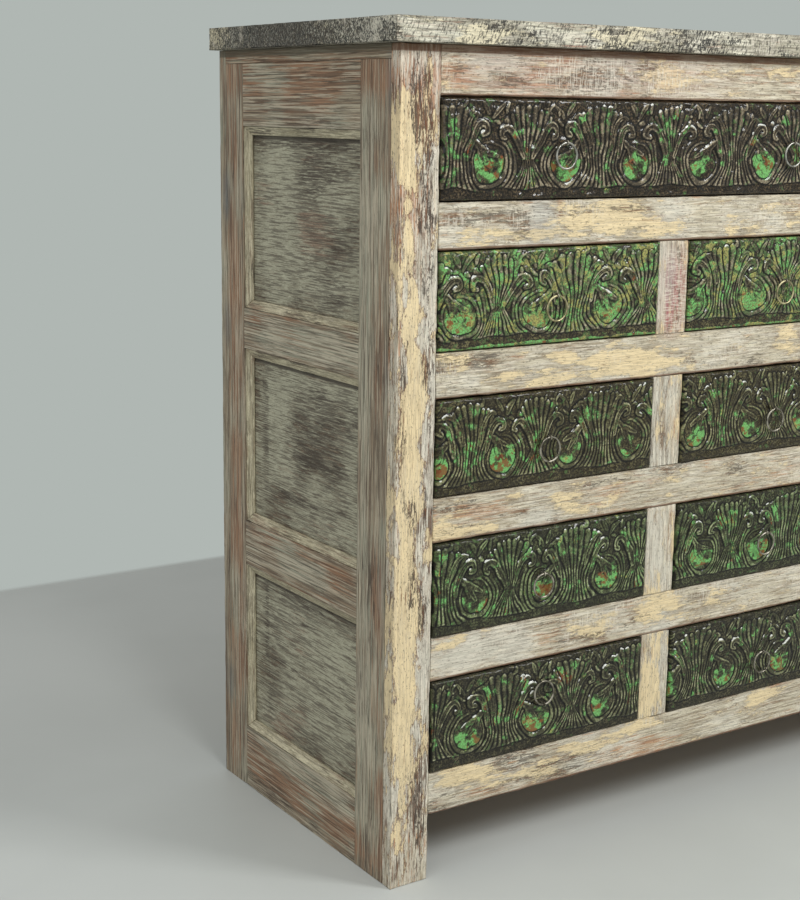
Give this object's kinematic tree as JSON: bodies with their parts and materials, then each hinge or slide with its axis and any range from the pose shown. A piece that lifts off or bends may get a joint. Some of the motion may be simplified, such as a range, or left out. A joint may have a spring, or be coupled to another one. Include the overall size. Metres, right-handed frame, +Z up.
{
  "type": "sideboard",
  "caption": "Wide free-standing sideboard of reclaimed boards with a long top drawer over rows of small drawers, embossed metal drawer facings and ring pulls.",
  "frame": {"origin": "on the floor under the middle of the whole piece", "axes": "+X along the front to the right, +Y from the front to the back, +Z up"},
  "size_m": [1.337, 0.476, 1.1],
  "materials": {
    "top_wood": "worn pale paint over grey reclaimed wood",
    "side_wood": "brushed grey-brown wood with limewash",
    "panel_wood": "crackled grey-green paint on wood",
    "front_wood": "chipped cream paint over grey-brown wood",
    "plain_wood": "bare inner wood",
    "facing_metal": "embossed sheet, worn green paint under gloss lacquer",
    "ring_iron": "dark aged iron",
    "nail_iron": "dull iron"
  },
  "bodies": {
    "carcass": {"top_boards": "top_wood", "left_side_frame": "side_wood", "left_side_panels": "panel_wood", "left_panel_mouldings": "side_wood", "right_side_frame": "side_wood", "right_side_panels": "panel_wood", "right_panel_mouldings": "side_wood", "front_stiles": "front_wood", "front_rails": "front_wood", "front_dividers": "front_wood", "drawer_runners": "plain_wood", "drawer_guides": "plain_wood", "drawer_catches": "plain_wood", "bottom_board": "plain_wood", "top_cleats": "plain_wood", "back_rails": "plain_wood", "back_boards": "plain_wood", "back_nails": "nail_iron"},
    "drawer_top": {"drawer_top_box": "plain_wood", "drawer_top_facing": "facing_metal"},
    "drawer_2_1": {"drawer_2_1_box": "plain_wood", "drawer_2_1_facing": "facing_metal"},
    "drawer_2_2": {"drawer_2_2_box": "plain_wood", "drawer_2_2_facing": "facing_metal"},
    "drawer_2_3": {"drawer_2_3_box": "plain_wood", "drawer_2_3_facing": "facing_metal"},
    "drawer_3_1": {"drawer_3_1_box": "plain_wood", "drawer_3_1_facing": "facing_metal"},
    "drawer_3_2": {"drawer_3_2_box": "plain_wood", "drawer_3_2_facing": "facing_metal"},
    "drawer_3_3": {"drawer_3_3_box": "plain_wood", "drawer_3_3_facing": "facing_metal"},
    "drawer_4_1": {"drawer_4_1_box": "plain_wood", "drawer_4_1_facing": "facing_metal"},
    "drawer_4_2": {"drawer_4_2_box": "plain_wood", "drawer_4_2_facing": "facing_metal"},
    "drawer_4_3": {"drawer_4_3_box": "plain_wood", "drawer_4_3_facing": "facing_metal"},
    "drawer_5_1": {"drawer_5_1_box": "plain_wood", "drawer_5_1_facing": "facing_metal"},
    "drawer_5_2": {"drawer_5_2_box": "plain_wood", "drawer_5_2_facing": "facing_metal"},
    "drawer_5_3": {"drawer_5_3_box": "plain_wood", "drawer_5_3_facing": "facing_metal"},
    "pull_top_left": {"ring_top_left": "ring_iron"},
    "pull_top_middle": {"ring_top_middle": "ring_iron"},
    "pull_top_right": {"ring_top_right": "ring_iron"},
    "pull_2_1": {"ring_2_1": "ring_iron"},
    "pull_2_2": {"ring_2_2": "ring_iron"},
    "pull_2_3": {"ring_2_3": "ring_iron"},
    "pull_3_1": {"ring_3_1": "ring_iron"},
    "pull_3_2": {"ring_3_2": "ring_iron"},
    "pull_3_3": {"ring_3_3": "ring_iron"},
    "pull_4_1": {"ring_4_1": "ring_iron"},
    "pull_4_2": {"ring_4_2": "ring_iron"},
    "pull_4_3": {"ring_4_3": "ring_iron"},
    "pull_5_1": {"ring_5_1": "ring_iron"},
    "pull_5_2": {"ring_5_2": "ring_iron"},
    "pull_5_3": {"ring_5_3": "ring_iron"}
  },
  "joints": [
    {"name": "drawer_top_slide", "type": "slide", "parent": "carcass", "child": "drawer_top", "axis": [0, -1, 0], "range_m": [0, 0.3653]},
    {"name": "drawer_2_1_slide", "type": "slide", "parent": "carcass", "child": "drawer_2_1", "axis": [0, -1, 0], "range_m": [0, 0.3653]},
    {"name": "drawer_2_2_slide", "type": "slide", "parent": "carcass", "child": "drawer_2_2", "axis": [0, -1, 0], "range_m": [0, 0.3653]},
    {"name": "drawer_2_3_slide", "type": "slide", "parent": "carcass", "child": "drawer_2_3", "axis": [0, -1, 0], "range_m": [0, 0.3653]},
    {"name": "drawer_3_1_slide", "type": "slide", "parent": "carcass", "child": "drawer_3_1", "axis": [0, -1, 0], "range_m": [0, 0.3653]},
    {"name": "drawer_3_2_slide", "type": "slide", "parent": "carcass", "child": "drawer_3_2", "axis": [0, -1, 0], "range_m": [0, 0.3653]},
    {"name": "drawer_3_3_slide", "type": "slide", "parent": "carcass", "child": "drawer_3_3", "axis": [0, -1, 0], "range_m": [0, 0.3653]},
    {"name": "drawer_4_1_slide", "type": "slide", "parent": "carcass", "child": "drawer_4_1", "axis": [0, -1, 0], "range_m": [0, 0.3653]},
    {"name": "drawer_4_2_slide", "type": "slide", "parent": "carcass", "child": "drawer_4_2", "axis": [0, -1, 0], "range_m": [0, 0.3653]},
    {"name": "drawer_4_3_slide", "type": "slide", "parent": "carcass", "child": "drawer_4_3", "axis": [0, -1, 0], "range_m": [0, 0.3653]},
    {"name": "drawer_5_1_slide", "type": "slide", "parent": "carcass", "child": "drawer_5_1", "axis": [0, -1, 0], "range_m": [0, 0.3653]},
    {"name": "drawer_5_2_slide", "type": "slide", "parent": "carcass", "child": "drawer_5_2", "axis": [0, -1, 0], "range_m": [0, 0.3653]},
    {"name": "drawer_5_3_slide", "type": "slide", "parent": "carcass", "child": "drawer_5_3", "axis": [0, -1, 0], "range_m": [0, 0.3653]},
    {"name": "ring_top_left_swing", "type": "hinge", "parent": "drawer_top", "child": "pull_top_left", "pos_m": [-0.407, -0.2319, 0.955], "axis": [-1, 0, 0], "range_deg": [-3, 183]},
    {"name": "ring_top_middle_swing", "type": "hinge", "parent": "drawer_top", "child": "pull_top_middle", "pos_m": [0, -0.2319, 0.955], "axis": [-1, 0, 0], "range_deg": [-3, 183]},
    {"name": "ring_top_right_swing", "type": "hinge", "parent": "drawer_top", "child": "pull_top_right", "pos_m": [0.407, -0.2319, 0.955], "axis": [-1, 0, 0], "range_deg": [-3, 183]},
    {"name": "ring_2_1_swing", "type": "hinge", "parent": "drawer_2_1", "child": "pull_2_1", "pos_m": [-0.414, -0.2319, 0.763], "axis": [-1, 0, 0], "range_deg": [-3, 183]},
    {"name": "ring_2_2_swing", "type": "hinge", "parent": "drawer_2_2", "child": "pull_2_2", "pos_m": [0, -0.2319, 0.763], "axis": [-1, 0, 0], "range_deg": [-3, 183]},
    {"name": "ring_2_3_swing", "type": "hinge", "parent": "drawer_2_3", "child": "pull_2_3", "pos_m": [0.414, -0.2319, 0.763], "axis": [-1, 0, 0], "range_deg": [-3, 183]},
    {"name": "ring_3_1_swing", "type": "hinge", "parent": "drawer_3_1", "child": "pull_3_1", "pos_m": [-0.418, -0.2319, 0.579], "axis": [-1, 0, 0], "range_deg": [-3, 183]},
    {"name": "ring_3_2_swing", "type": "hinge", "parent": "drawer_3_2", "child": "pull_3_2", "pos_m": [-0.004, -0.2319, 0.579], "axis": [-1, 0, 0], "range_deg": [-3, 183]},
    {"name": "ring_3_3_swing", "type": "hinge", "parent": "drawer_3_3", "child": "pull_3_3", "pos_m": [0.41, -0.2319, 0.579], "axis": [-1, 0, 0], "range_deg": [-3, 183]},
    {"name": "ring_4_1_swing", "type": "hinge", "parent": "drawer_4_1", "child": "pull_4_1", "pos_m": [-0.421, -0.2319, 0.395], "axis": [-1, 0, 0], "range_deg": [-3, 183]},
    {"name": "ring_4_2_swing", "type": "hinge", "parent": "drawer_4_2", "child": "pull_4_2", "pos_m": [-0.007, -0.2319, 0.395], "axis": [-1, 0, 0], "range_deg": [-3, 183]},
    {"name": "ring_4_3_swing", "type": "hinge", "parent": "drawer_4_3", "child": "pull_4_3", "pos_m": [0.407, -0.2319, 0.395], "axis": [-1, 0, 0], "range_deg": [-3, 183]},
    {"name": "ring_5_1_swing", "type": "hinge", "parent": "drawer_5_1", "child": "pull_5_1", "pos_m": [-0.4135, -0.2319, 0.211], "axis": [1, 0, 0], "range_deg": [0, 186]},
    {"name": "ring_5_2_swing", "type": "hinge", "parent": "drawer_5_2", "child": "pull_5_2", "pos_m": [0.0005, -0.2319, 0.211], "axis": [-1, 0, 0], "range_deg": [-3, 183]},
    {"name": "ring_5_3_swing", "type": "hinge", "parent": "drawer_5_3", "child": "pull_5_3", "pos_m": [0.4145, -0.2319, 0.211], "axis": [-1, 0, 0], "range_deg": [-3, 183]}
  ]
}
